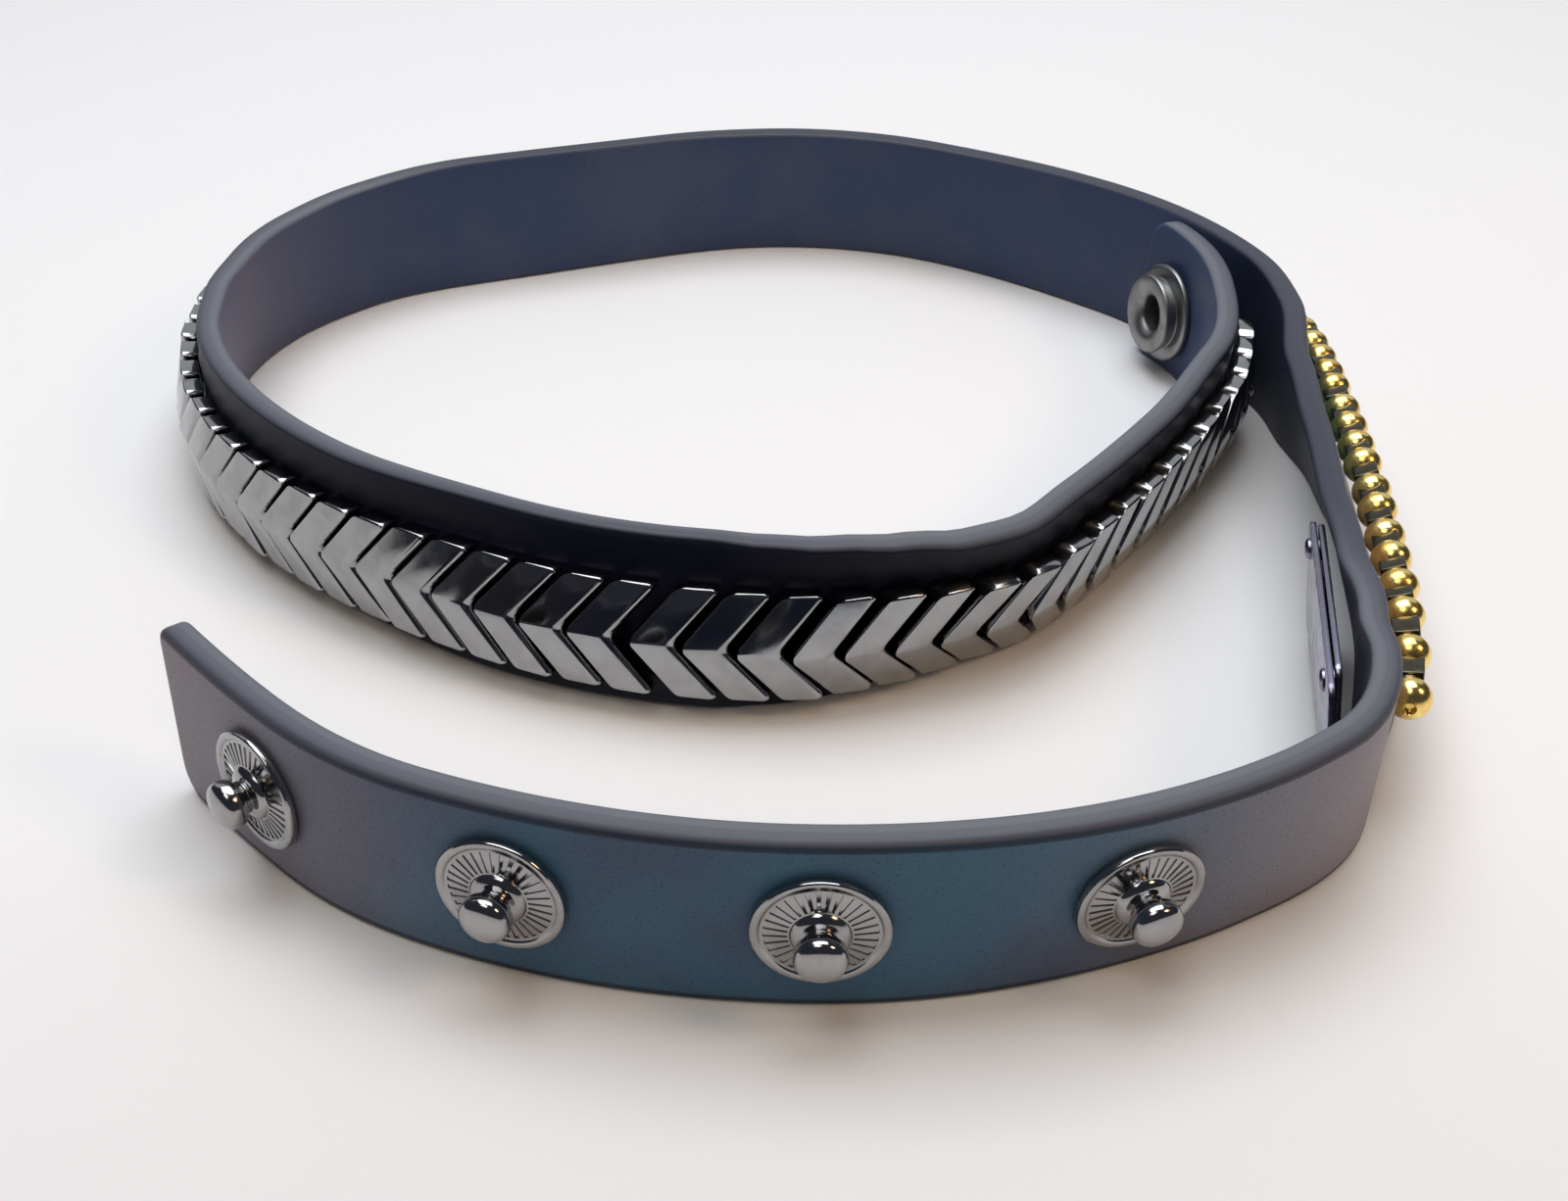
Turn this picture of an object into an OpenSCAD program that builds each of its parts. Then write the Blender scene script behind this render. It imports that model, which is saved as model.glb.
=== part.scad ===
// Wrap bracelet: one long strap set with chevrons and a row of gold balls, with four
// snap studs near its free end and a snap socket at its inner end. It stands on one long
// edge, unfastened, in a loose spiral. Sizes are in millimetres, and +Z is up.

/* [Strap] */
// Width of the strap, from one long edge to the other
strap_w = 12; // [11.8:0.1:12.6]
// Thickness of the strap
strap_t = 1.8; // [1.6:0.1:2]
// Radius of the rounding along the long edges
edge_r = 0.45; // [0.3:0.05:0.6]
// Corner radius of the free end, at its lower corner
free_low_r = 2.2; // [0.4:0.1:2.3]
// Corner radius of the free end, at its upper corner
free_high_r = 1; // [0.4:0.1:2.3]
// Corner radius of the inner end, at both corners
inner_end_r = 2.2; // [0.4:0.1:2.3]

/* [Studs] */
// Distance of the first stud from the free end
stud_first = 10.5; // [9:0.5:12]
// Distance from one stud to the next
stud_pitch = 16.6; // [14:0.2:17]
// Height of the studs up the strap
stud_up = 6.3; // [5.6:0.1:6.6]
// Diameter of a stud's disc
stud_disc_d = 7.4; // [6.8:0.1:7.6]
// Diameter of a stud's blunt head
stud_head_d = 2.86; // [2.7:0.02:2.88]
// Height of a stud above the strap
stud_h = 3.1; // [2.9:0.05:3.4]

/* [Chevrons] */
// Distance of the first chevron's point from the free end
chevron_first = 246.9; // [246.5:0.1:247.3]
// Distance from one chevron to the next, measured along their outer faces
chevron_pitch = 3.3; // [3.27:0.01:3.32]
// Height of the point up the strap
chevron_up = 5.3; // [5.1:0.05:5.6]
// Width of a chevron's arm, measured along the strap
chevron_arm = 2.9; // [2.7:0.05:2.95]
// How far a chevron's arms sweep back along the strap
chevron_sweep = 3.1; // [2.5:0.1:3.3]
// Height of a chevron's arm up the strap, from its point to its end
chevron_reach = 3.8; // [3.6:0.1:4]
// Height of a chevron's ridge above the strap
chevron_h = 2.2; // [1.9:0.1:2.3]

/* [Gold row] */
// Distance of the first gold ball from the free end
ball_first = 84.3; // [84:0.1:84.6]
// Diameter of a gold ball
ball_d = 2.45; // [2.3:0.05:2.45]
// Height of the row up the strap
ball_up = 7; // [6:0.1:7]

/* [Socket] */
// Distance of the socket's middle from the inner end
socket_in = 4.8; // [4.6:0.1:6]
// Height of the socket's middle up the strap
socket_up = 5.1; // [4.8:0.1:6]
// Diameter of the socket's flange
socket_flange_d = 8.2; // [7.6:0.1:8.4]
// Diameter of the socket's face
socket_face_d = 6.6; // [6:0.1:7]

/* [Inner plate] */
// Height of the inner plate
plate_h = 8; // [6:0.5:9]
// Thickness of each of the inner plate's two layers
plate_t = 0.42; // [0.35:0.01:0.45]

/* [Hidden] */
$fn = 48;

// How the strap lies, from its free end to its inner end
// Columns: length along the strap, left turn over that length, outward lean at its end
LENGTH = 0;
TURN = 1;
LEAN = 2;
lie = [
    // Front stretch with the studs
    [11, 5, -0.5],
    [11, 21, 1.5],
    [21, 21.5, 3.5],
    [20, 23.5, 7],
    // Tight bend on the right
    [6, 8, 7],
    [4, 5.5, 6],
    [9, 42.5, 0.5],
    [4, -5.5, -7],
    // Right stretch, leaning inwards
    [8, 7, -19.5],
    [8, 3.5, -24],
    [10, 3, -22],
    [9, 2, -18],
    [9, 2, -5],
    // Round the back
    [9, 18, 0],
    [9, 14.5, 0],
    [9, 14.5, -1],
    [18, 14, -6],
    [18, 34, -5.5],
    [9, 14, -3.5],
    [18, 1, 0],
    // Left bend, where the chevrons start
    [12, 25.5, -7],
    [8, 17, -10],
    [9, 23, -10.5],
    [7, 12.5, -6],
    [7, 9.5, -2],
    // Inner stretch to the kink
    [12, 19, -3],
    [12, 15.5, -3],
    [14, 11.5, -11.5],
    [14, 19, -11],
    // Slanted fold of the kink
    [4, 8, -3.5],
    [4, 12, 3.5],
    [4, 7.5, 11.5],
    [4, 4.5, 19],
    [4, 7.5, 20.5],
    [5, 18, 14.5],
    // From the kink to the inner end
    [12, 5.5, 13.5],
    [12, 5, 8],
    [12, 24, 0],
    [14, 38, 6]
];
// Place of the free end on the floor, its heading and its outward lean
free_end = [-33.11, -30.95];
free_heading = -49;
free_lean = -1.5;

// Between two sections: the longest piece of strap, and the most that it turns and leans
section_step = 4.5;
section_turn = 5;
section_lean = 2.5;
// Extra sections near each end, where the corners are rounded
end_marks = [0.2, 0.6, 1.2, 2.3];

// Clearance between a piece and the strap that carries it, and the same for a chevron,
// under which the strap may twist
seat = 0.15;
chevron_seat = 0.23;

// Gaps between the centres of the gold balls, along the row, from the first ball on
ball_gaps = [4.3, 4, 3.3, 3.4, 2.8, 3.5, 2.6, 3.7, 2.6, 2.9, 2.8, 3.5, 2.6, 2.9, 2.6, 2.6, 2.6];
// Bore of a spacer, which the balls on either side dip into, its square side, the
// clearance between it and a ball, and its greatest thickness
spacer_bore = 1.5;
spacer_side = 2.1;
spacer_gap = 0.17;
spacer_most = 1.7;

// The chevrons' path lies this far out from the strap's middle
chevron_path = 2;
// Chevron after which there is a wider gap, and how much wider it is
chevron_break = 20;
chevron_break_gap = 0.8;
chevron_count = 40;
// Height of a chevron's ends above the strap, how far its top edges are bevelled, and how
// far its foot is drawn in, over which height
chevron_end_h = 1.45;
chevron_bevel = 0.25;
chevron_foot = 0.2;
chevron_foot_h = 0.3;

// Snap studs
stud_count = 4;
stud_post_d = 2;
stud_hole_d = 2.3;
stud_back_d = 5.5;
stud_back_t = 0.4;
stud_back_seat = 0.25;

// Snap socket: how far its flat flange stands off the curved strap, bore for a stud's
// head, height of the face over the flange's seat, and the stem in its hole
socket_seat = 0.53;
socket_bore_d = 2.96;
socket_h = 1.75;
socket_stem_d = 4.2;
socket_stem_hole_d = 4.5;

// Inner plate: where its top corners lie along the strap, their gaps to it, and its lean
plate_top = 10;
plate_near = [79.2, 0.85];
plate_far = [99.8, 0.5];
plate_lean = 5;
plate_groove = 0.12;
// The layer by the strap stops short of the near end
plate_short = 2.6;
// Rivets: their distances from the plate's near end, and how far they lie below its top
plate_rivets = [3.6, 18.3];
rivet_down = 1.4;
rivet_d = 1.4;
rivet_head = 0.35;

rows = len(lie);
knot_s = [for (i = 0, s = 0; i <= rows; s = s + (i < rows ? lie[i][LENGTH] : 0), i = i + 1) s];
strap_len = knot_s[rows];

// Point and heading after an arc of the given length and turn
function arc_end(p, length, turn) =
    let (chord = abs(turn) < 0.01 ? length : length * 360 / (PI * turn) * sin(turn / 2),
         way = p.z + turn / 2)
    [p.x + chord * cos(way), p.y + chord * sin(way), p.z + turn];
knots = [
    for (i = 0, p = [free_end.x, free_end.y, free_heading];
         i <= rows;
         p = i < rows ? arc_end(p, lie[i][LENGTH], lie[i][TURN]) : p, i = i + 1) p
];
knot_lean = concat([free_lean], [for (row = lie) row[LEAN]]);

// Row of the table that holds a distance, where marks are the rows' own distances
function row_at(s, marks, i = 0) = i >= rows - 1 || s < marks[i + 1] ? i : row_at(s, marks, i + 1);

// Place, heading and lean of the strap's middle line at a distance along it
function frame_at(s) =
    let (i = row_at(s, knot_s),
         u = (s - knot_s[i]) / lie[i][LENGTH],
         p = arc_end(knots[i], u * lie[i][LENGTH], u * lie[i][TURN]),
         ease = u * u * (3 - 2 * u))
    [p.x, p.y, p.z, knot_lean[i] + (lie[i][LEAN] - knot_lean[i]) * ease];

// Height of the middle line, which keeps the rounded lower edge on the floor
function mid_height(lean) =
    edge_r + (strap_w / 2 - edge_r) * cos(lean) + (strap_t / 2 - edge_r) * abs(sin(lean));

// Point on a section, out from the middle line and up from the lower edge
function place(f, out, up) =
    let (lean = f[3],
         rise = up - strap_w / 2,
         side = out * cos(lean) + rise * sin(lean))
    [f.x + side * sin(f.z), f.y - side * cos(f.z), mid_height(lean) - out * sin(lean) + rise * cos(lean)];

// Distances along a path that runs out from the middle line, and back to the strap's own
function path_marks(out) = [
    for (i = 0, d = 0;
         i <= rows;
         d = d + (i < rows ? lie[i][LENGTH] + out * lie[i][TURN] * PI / 180 : 0), i = i + 1) d
];
function path_at(s, marks) =
    let (i = row_at(s, knot_s))
    marks[i] + (s - knot_s[i]) / lie[i][LENGTH] * (marks[i + 1] - marks[i]);
function strap_at(d, marks) =
    let (i = row_at(d, marks))
    knot_s[i] + (d - marks[i]) / (marks[i + 1] - marks[i]) * lie[i][LENGTH];

// Puts children on the strap: X along it, Y up it, Z out from its middle
module on_strap(s, up) {
    f = frame_at(s);
    translate([f.x, f.y, mid_height(f[3])])
        rotate([90 + f[3], 0, f.z])
            translate([0, up - strap_w / 2, 0])
                children();
}

// Strap: sections along the table, with rounded edges and rounded end corners
stations = concat(
    [0],
    end_marks,
    [
        for (i = [0 : rows - 1])
            let (n = ceil(max(lie[i][LENGTH] / section_step,
                              abs(lie[i][TURN]) / section_turn,
                              abs(knot_lean[i + 1] - knot_lean[i]) / section_lean)))
            for (k = [(i == 0 ? 1 : 0) : n - 1]) knot_s[i] + k / n * lie[i][LENGTH]
    ],
    [for (i = [len(end_marks) - 1 : -1 : 0]) strap_len - end_marks[i]],
    [strap_len]
);

// How far a rounded end corner cuts in, at a distance from the end
function corner_cut(d, r) = d >= r ? 0 : r - sqrt(r * r - (r - d) * (r - d));

// Outline of a section, as points out from the middle and up from the lower edge
corner_steps = [0, 45, 90];
side_steps = [1 / 3, 2 / 3];
function corner(out, up, first) =
    [for (a = corner_steps) [out + edge_r * cos(first + a), up + edge_r * sin(first + a)]];
function side(out, from, to) = [for (u = side_steps) [out, from + u * (to - from)]];
function section(low, high) =
    let (out = strap_t / 2 - edge_r, a = low + edge_r, c = high - edge_r)
    concat(
        corner(out, a, -90), side(strap_t / 2, a, c), corner(out, c, 0),
        corner(-out, c, 90), side(-strap_t / 2, c, a), corner(-out, a, 180)
    );

function section_at(s) =
    let (low = max(corner_cut(s, free_low_r), corner_cut(strap_len - s, inner_end_r)),
         high = strap_w - max(corner_cut(s, free_high_r), corner_cut(strap_len - s, inner_end_r)),
         f = frame_at(s))
    [for (q = section(low, high)) place(f, q.x, q.y)];

module strap_body() {
    sections = [for (s = stations) section_at(s)];
    sides = len(sections[0]);
    count = len(sections);
    walls = [
        for (i = [0 : count - 2])
            for (k = [0 : sides - 1])
                let (a = i * sides + k, b = i * sides + (k + 1) % sides)
                each [[a, b, b + sides], [a, b + sides, a + sides]]
    ];
    ends = [[for (k = [sides - 1 : -1 : 0]) k], [for (k = [0 : sides - 1]) (count - 1) * sides + k]];
    polyhedron([for (ring = sections) each ring], concat(walls, ends));
}

module strap() {
    color([0.09, 0.10, 0.15])
        difference() {
            strap_body();
            for (i = [1 : stud_count])
                on_strap(stud_s(i), stud_up)
                    cylinder(d = stud_hole_d, h = 3 * strap_t, center = true);
            on_strap(strap_len - socket_in, socket_up)
                cylinder(d = socket_stem_hole_d, h = 3 * strap_t, center = true);
        }
}

// Snap stud: back flange, post, disc with a raised rim, waisted neck and blunt round head
function stud_s(i) = stud_first + (i - 1) * stud_pitch;

module stud(i) {
    face = strap_t / 2 + seat;
    back = -strap_t / 2 - stud_back_seat;
    disc_r = stud_disc_d / 2;
    head_r = stud_head_d / 2;
    top = strap_t / 2 + stud_h;
    profile = [
        [0, back - stud_back_t],
        [stud_back_d / 2 - 0.2, back - stud_back_t],
        [stud_back_d / 2, back - stud_back_t + 0.2],
        [stud_back_d / 2, back],
        [stud_post_d / 2, back],
        [stud_post_d / 2, face],
        [disc_r, face],
        [disc_r, face + 0.35],
        [disc_r - 0.15, face + 0.5],
        [disc_r * 0.86, face + 0.5],
        [disc_r * 0.82, face + 0.38],
        [disc_r * 0.44, face + 0.55],
        [head_r * 0.78, face + 0.85],
        [head_r * 0.68, face + 1.15],
        [head_r * 0.7, top - 1.6],
        [head_r - 0.1, top - 1.36],
        [head_r, top - 1.1],
        [head_r, top - 0.7],
        [head_r - 0.1, top - 0.42],
        [head_r - 0.38, top - 0.2],
        [head_r * 0.45, top - 0.05],
        [0, top]
    ];
    color([0.30, 0.30, 0.32])
        on_strap(stud_s(i), stud_up)
            rotate_extrude() polygon(profile);
}

// Chevron: two swept arms that meet in a ridge, with bevelled top edges
chevron_marks = path_marks(chevron_path);
function chevron_s(i) =
    let (extra = i > chevron_break ? chevron_break_gap : 0,
         middle = (chevron_arm + chevron_sweep) / 2,
         first = path_at(chevron_first, chevron_marks) + middle)
    strap_at(first + (i - 1) * chevron_pitch + extra, chevron_marks);

// Outline of a chevron, drawn in by an inset
function chevron_outline(inset) =
    let (half = (chevron_arm + chevron_sweep) / 2,
         reach = chevron_reach - inset,
         // An inset of the arm's slanted sides, measured along the strap
         slant = inset * norm([chevron_sweep, chevron_reach]) / chevron_reach,
         back = chevron_sweep * reach / chevron_reach)
    [
        [-half + slant, 0],
        [-half + slant + back, reach],
        [-half + chevron_arm - slant + back, reach],
        [-half + chevron_arm - slant, 0],
        [-half + chevron_arm - slant + back, -reach],
        [-half + slant + back, -reach]
    ];

module chevron(i) {
    base = strap_t / 2 + chevron_seat;
    ridge = strap_t / 2 + chevron_h;
    end = strap_t / 2 + chevron_end_h;
    tops = [ridge, end, end, ridge, end, end];
    n = len(tops);
    levels = [
        [for (q = chevron_outline(chevron_foot)) [q.x, q.y, base]],
        [for (q = chevron_outline(0)) [q.x, q.y, base + chevron_foot_h]],
        [for (k = [0 : n - 1]) let (q = chevron_outline(0)[k]) [q.x, q.y, tops[k] - chevron_bevel]],
        [for (k = [0 : n - 1]) let (q = chevron_outline(chevron_bevel)[k]) [q.x, q.y, tops[k]]]
    ];
    last = (len(levels) - 1) * n;
    walls = [
        for (level = [0 : len(levels) - 2])
            for (k = [0 : n - 1])
                let (a = level * n + k, c = level * n + (k + 1) % n)
                each [[a, a + n, c + n], [a, c + n, c]]
    ];
    floor_faces = [[0, 1, 2], [0, 2, 3], [0, 3, 4], [0, 4, 5]];
    top_faces = [for (t = floor_faces) [last + t[2], last + t[1], last + t[0]]];
    color([0.42, 0.42, 0.44])
        on_strap(chevron_s(i), chevron_up)
            mirror([0, 1, 0])
                polyhedron([for (level = levels) each level], concat(walls, floor_faces, top_faces));
}

// Gold row: balls, with square spacers between them
ball_out = strap_t / 2 + seat + ball_d / 2;
ball_marks = path_marks(ball_out);
ball_count = len(ball_gaps) + 1;
ball_path = [
    for (i = 0, d = path_at(ball_first, ball_marks);
         i < ball_count;
         d = d + (i < ball_count - 1 ? ball_gaps[i] : 0), i = i + 1) d
];

module gold_balls() {
    color([0.83, 0.66, 0.20])
        for (d = ball_path)
            on_strap(strap_at(d, ball_marks), ball_up)
                translate([0, 0, ball_out]) sphere(d = ball_d);
}

module ball_spacers() {
    // A ball's surface passes the bore's rim at this distance from its centre
    dip = sqrt(ball_d * ball_d - spacer_bore * spacer_bore) / 2 + spacer_gap;
    color([0.35, 0.35, 0.38])
        for (i = [0 : ball_count - 2])
            let (gap = ball_gaps[i])
            on_strap(strap_at((ball_path[i] + ball_path[i + 1]) / 2, ball_marks), ball_up)
                translate([0, 0, ball_out])
                    difference() {
                        cube([min(gap - 2 * dip, spacer_most), spacer_side, spacer_side], center = true);
                        rotate([0, 90, 0]) cylinder(d = spacer_bore, h = gap, center = true);
                    }
}

// Snap socket: flange on the inner face, drum with a funnel mouth, stem through the strap
module socket() {
    face = strap_t / 2 + socket_seat;
    flange_r = socket_flange_d / 2;
    face_r = socket_face_d / 2;
    bore_r = socket_bore_d / 2;
    top = face + socket_h;
    profile = [
        [bore_r, 0.1 - strap_t / 2],
        [socket_stem_d / 2, 0.1 - strap_t / 2],
        [socket_stem_d / 2, face],
        [flange_r, face],
        [flange_r, face + 0.25],
        [flange_r - 0.25, face + 0.5],
        [face_r - 0.35, face + 0.55],
        [face_r - 0.35, top - 0.5],
        [face_r, top - 0.4],
        [face_r, top - 0.12],
        [face_r - 0.2, top],
        [bore_r + 0.7, top - 0.1],
        [bore_r, top - 0.6]
    ];
    color([0.33, 0.33, 0.36])
        on_strap(strap_len - socket_in, socket_up)
            rotate([180, 0, 0])
                rotate_extrude() polygon(profile);
}

// Inner plate: two layers held by two rivets, standing off the strap's bend
module inner_plate() {
    a = place(frame_at(plate_near.x), -strap_t / 2 - plate_near.y, plate_top);
    c = place(frame_at(plate_far.x), -strap_t / 2 - plate_far.y, plate_top);
    length = norm([c.x - a.x, c.y - a.y]);
    heading = atan2(c.y - a.y, c.x - a.x);
    color([0.40, 0.40, 0.46])
        translate([a.x, a.y, plate_top])
            rotate([-plate_lean, 0, heading])
                translate([0, 0, -plate_h]) {
                    translate([0, plate_t + plate_groove, 0]) cube([length, plate_t, plate_h]);
                    translate([plate_short, 0, 0.2]) cube([length - plate_short, plate_t, plate_h - 0.4]);
                    for (x = plate_rivets)
                        translate([x, 0, plate_h - rivet_down])
                            rotate([-90, 0, 0])
                                cylinder(d = rivet_d, h = 2 * plate_t + plate_groove + rivet_head);
                }
}

strap();
for (i = [1 : stud_count]) stud(i);
for (i = [1 : chevron_count]) chevron(i);
gold_balls();
ball_spacers();
socket();
inner_plate();
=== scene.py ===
# Wrap bracelet, unfastened and standing on one long edge in a loose spiral, on a pale table.
# Pieces are modelled in millimetres, and scaled to metres as they are laid in place.
import math

import bmesh
import bpy
from mathutils import Matrix, Vector


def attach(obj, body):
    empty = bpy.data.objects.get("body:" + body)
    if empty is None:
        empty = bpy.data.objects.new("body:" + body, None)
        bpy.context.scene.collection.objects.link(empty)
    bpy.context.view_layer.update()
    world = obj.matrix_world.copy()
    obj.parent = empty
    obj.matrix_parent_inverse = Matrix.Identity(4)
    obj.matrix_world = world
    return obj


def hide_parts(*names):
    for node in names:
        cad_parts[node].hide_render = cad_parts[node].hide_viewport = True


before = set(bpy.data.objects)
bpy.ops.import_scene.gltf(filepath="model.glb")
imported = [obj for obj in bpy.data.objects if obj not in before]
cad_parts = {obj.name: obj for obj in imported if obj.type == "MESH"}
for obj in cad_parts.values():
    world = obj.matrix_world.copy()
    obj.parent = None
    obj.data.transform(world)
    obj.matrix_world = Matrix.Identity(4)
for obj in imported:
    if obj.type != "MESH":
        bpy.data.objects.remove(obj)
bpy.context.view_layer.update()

mm = 0.001
tolerance = 0.01  # points nearer than this, in millimetres, count as level
smoothAngle = 30  # degrees, past which an edge stays sharp
print("frame loaded:", len(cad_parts), "nodes")

# The strap's sizes and how it starts, at its free end
strapForm = {
    "width": 12.0,
    "thickness": 1.8,
    "edgeRound": 0.45,
    "freeLowRound": 2.2,
    "freeHighRound": 1.0,
    "innerEndRound": 2.2,
    "freeEnd": (-33.11, -30.95),
    "freeHeading": -49.0,
    "freeLean": -1.5,
}

# How the strap lies from there: millimetres along it, degrees that it turns left,
# degrees that its top leans outward at the end of the stretch
strapLie = [
    # front stretch with the studs
    (11, 5, -0.5), (11, 21, 1.5), (21, 21.5, 3.5), (20, 23.5, 7),
    # tight bend on the right
    (6, 8, 7), (4, 5.5, 6), (9, 42.5, 0.5), (4, -5.5, -7),
    # right stretch, leaning inwards
    (8, 7, -19.5), (8, 3.5, -24), (10, 3, -22), (9, 2, -18), (9, 2, -5),
    # round the back
    (9, 18, 0), (9, 14.5, 0), (9, 14.5, -1), (18, 14, -6), (18, 34, -5.5), (9, 14, -3.5), (18, 1, 0),
    # left bend, where the chevrons start
    (12, 25.5, -7), (8, 17, -10), (9, 23, -10.5), (7, 12.5, -6), (7, 9.5, -2),
    # inner stretch to the kink
    (12, 19, -3), (12, 15.5, -3), (14, 11.5, -11.5), (14, 19, -11),
    # slanted fold of the kink
    (4, 8, -3.5), (4, 12, 3.5), (4, 7.5, 11.5), (4, 4.5, 19), (4, 7.5, 20.5), (5, 18, 14.5),
    # from the kink to the inner end
    (12, 5.5, 13.5), (12, 5, 8), (12, 24, 0), (14, 38, 6),
]


def arcEnd(x, y, heading, length, turn):
    # where an arc ends that starts at x, y with this heading
    half = math.radians(turn / 2)
    chord = length * (math.sin(half) / half if abs(half) > 1e-4 else 1)
    way = math.radians(heading) + half
    return x + chord * math.cos(way), y + chord * math.sin(way), heading + turn


knots = [(0.0, *strapForm["freeEnd"], strapForm["freeHeading"], strapForm["freeLean"])]
for length, turn, lean in strapLie:
    s, x, y, heading = knots[-1][:4]
    knots.append((s + length, *arcEnd(x, y, heading, length, turn), lean))
strapLength = knots[-1][0]


def lieRow(distance, marks):
    # row of the lie that holds a distance, where marks are the rows' own starts
    return max([0] + [i for i in range(len(strapLie)) if marks[i] <= distance])


def strapFrame(s):
    # place, heading and lean of the strap's middle line
    row = lieRow(s, [knot[0] for knot in knots])
    start, x, y, heading, leanBefore = knots[row]
    length, turn, lean = strapLie[row]
    u = (s - start) / length
    ease = u * u * (3 - 2 * u)
    return *arcEnd(x, y, heading, u * length, u * turn), leanBefore + (lean - leanBefore) * ease


def midHeight(lean):
    # height of the middle line, which keeps the rounded lower edge on the table
    tilt = math.radians(lean)
    edge = strapForm["edgeRound"]
    halfWidth = strapForm["width"] / 2 - edge
    halfThick = strapForm["thickness"] / 2 - edge
    return edge + halfWidth * math.cos(tilt) + halfThick * abs(math.sin(tilt))


def strapAt(distance, out):
    # distance along the strap of a distance along a path that lies out from its middle
    marks = [knot[0] + out * math.radians(knot[3] - knots[0][3]) for knot in knots]
    row = lieRow(distance, marks)
    u = (distance - marks[row]) / (marks[row + 1] - marks[row])
    return knots[row][0] + u * strapLie[row][0]


def pathAt(s, out):
    # the other way round
    return s + out * math.radians(strapFrame(s)[2] - knots[0][3])


def onStrap(s, up, out=0.0):
    # puts a piece on the strap: X along it, Y up it, Z out from its middle
    x, y, heading, lean = strapFrame(s)
    place = Matrix.Translation((x, y, midHeight(lean)))
    turn = Matrix.Rotation(math.radians(heading), 4, "Z") @ Matrix.Rotation(math.radians(90 + lean), 4, "X")
    shift = Matrix.Translation((0, up - strapForm["width"] / 2, out))
    return Matrix.Scale(mm, 4) @ place @ turn @ shift


def clearSelection():
    if bpy.context.object and bpy.context.object.mode != "OBJECT":
        bpy.ops.object.mode_set(mode="OBJECT")
    bpy.ops.object.select_all(action="DESELECT")


def selectOnly(piece):
    clearSelection()
    piece.select_set(True)
    bpy.context.view_layer.objects.active = piece


def editPiece(piece):
    selectOnly(piece)
    bpy.ops.object.mode_set(mode="EDIT")


def pick(piece, kind, test):
    # selects the vertices, edges or faces that pass a test
    bpy.ops.mesh.select_mode(type=kind)
    bpy.ops.mesh.select_all(action="DESELECT")
    mesh = bmesh.from_edit_mesh(piece.data)
    for item in {"VERT": mesh.verts, "EDGE": mesh.edges, "FACE": mesh.faces}[kind]:
        if test(item):
            item.select_set(True)
    mesh.select_flush_mode()
    bmesh.update_edit_mesh(piece.data)


def applyModifier(piece, kind, **settings):
    selectOnly(piece)
    modifier = piece.modifiers.new(kind.lower(), kind)
    for name, value in settings.items():
        setattr(modifier, name, value)
    bpy.ops.object.modifier_apply(modifier=modifier.name)


def isLevel(e):
    # an edge whose two ends have the same Y
    return abs(e.verts[0].co.y - e.verts[1].co.y) < tolerance


def layPiece(piece, matrix):
    # moves a piece to its place, and keeps the place in its mesh
    piece.matrix_world = matrix
    selectOnly(piece)
    bpy.ops.object.transform_apply(location=True, rotation=True, scale=True)


def copyPiece(piece, name):
    twin = piece.copy()
    twin.data = piece.data.copy()
    twin.name = name
    bpy.context.scene.collection.objects.link(twin)
    return twin


def finishPiece(piece, name, material, nodes):
    # names a piece, gives it its material and hides the frame's parts that it stands for
    selectOnly(piece)
    bpy.ops.object.shade_smooth_by_angle(angle=math.radians(smoothAngle))
    piece.name = name
    piece.data.name = name
    piece.data.materials.clear()
    piece.data.materials.append(material)
    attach(piece, "root")
    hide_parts(*nodes)


def bisectAt(place, normal):
    bpy.ops.mesh.select_all(action="SELECT")
    bpy.ops.mesh.bisect(plane_co=place, plane_no=normal)


def addBox(middle, size):
    # a box in millimetres, with its size in its mesh
    clearSelection()
    bpy.ops.mesh.primitive_cube_add(size=1, location=middle)
    piece = bpy.context.object
    piece.scale = size
    bpy.ops.object.transform_apply(location=True, rotation=True, scale=True)
    return piece


def drill(piece, radius, thickness, middle, rotation, sides):
    # cuts a round hole through a piece of this thickness
    clearSelection()
    bpy.ops.mesh.primitive_cylinder_add(
        vertices=sides, radius=radius, depth=3 * thickness, location=middle, rotation=rotation
    )
    cutter = bpy.context.object
    applyModifier(piece, "BOOLEAN", object=cutter, operation="DIFFERENCE", solver="EXACT")
    bpy.data.objects.remove(cutter)


def joinPieces(pieces):
    selectOnly(pieces[0])
    for piece in pieces[1:]:
        piece.select_set(True)
    bpy.ops.object.join()
    return pieces[0]


def turnPiece(rings, sides):
    # a turned piece: a disc drawn out from ring to ring, each a radius and a height
    radius, height = rings[0]
    clearSelection()
    bpy.ops.mesh.primitive_circle_add(
        vertices=sides, radius=radius, fill_type="NGON", location=(0, 0, height)
    )
    piece = bpy.context.object
    bpy.ops.object.transform_apply(location=True, rotation=True, scale=True)
    editPiece(piece)
    bpy.ops.mesh.select_all(action="SELECT")
    for nextRadius, nextHeight in rings[1:]:
        step = (0, 0, nextHeight - height)
        bpy.ops.mesh.extrude_region_move(TRANSFORM_OT_translate={"value": step})
        grow = nextRadius / radius
        bpy.ops.transform.resize(value=(grow, grow, 1), center_override=(0, 0, nextHeight))
        radius, height = nextRadius, nextHeight
    bpy.ops.mesh.select_all(action="SELECT")
    bpy.ops.mesh.normals_make_consistent(inside=False)
    bpy.ops.object.mode_set(mode="OBJECT")
    return piece


def ringsFrom(radius, height, steps):
    # rings of a profile that is given as steps from a radius and a height
    return [(radius + wider, height + higher) for wider, higher in steps]


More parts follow.
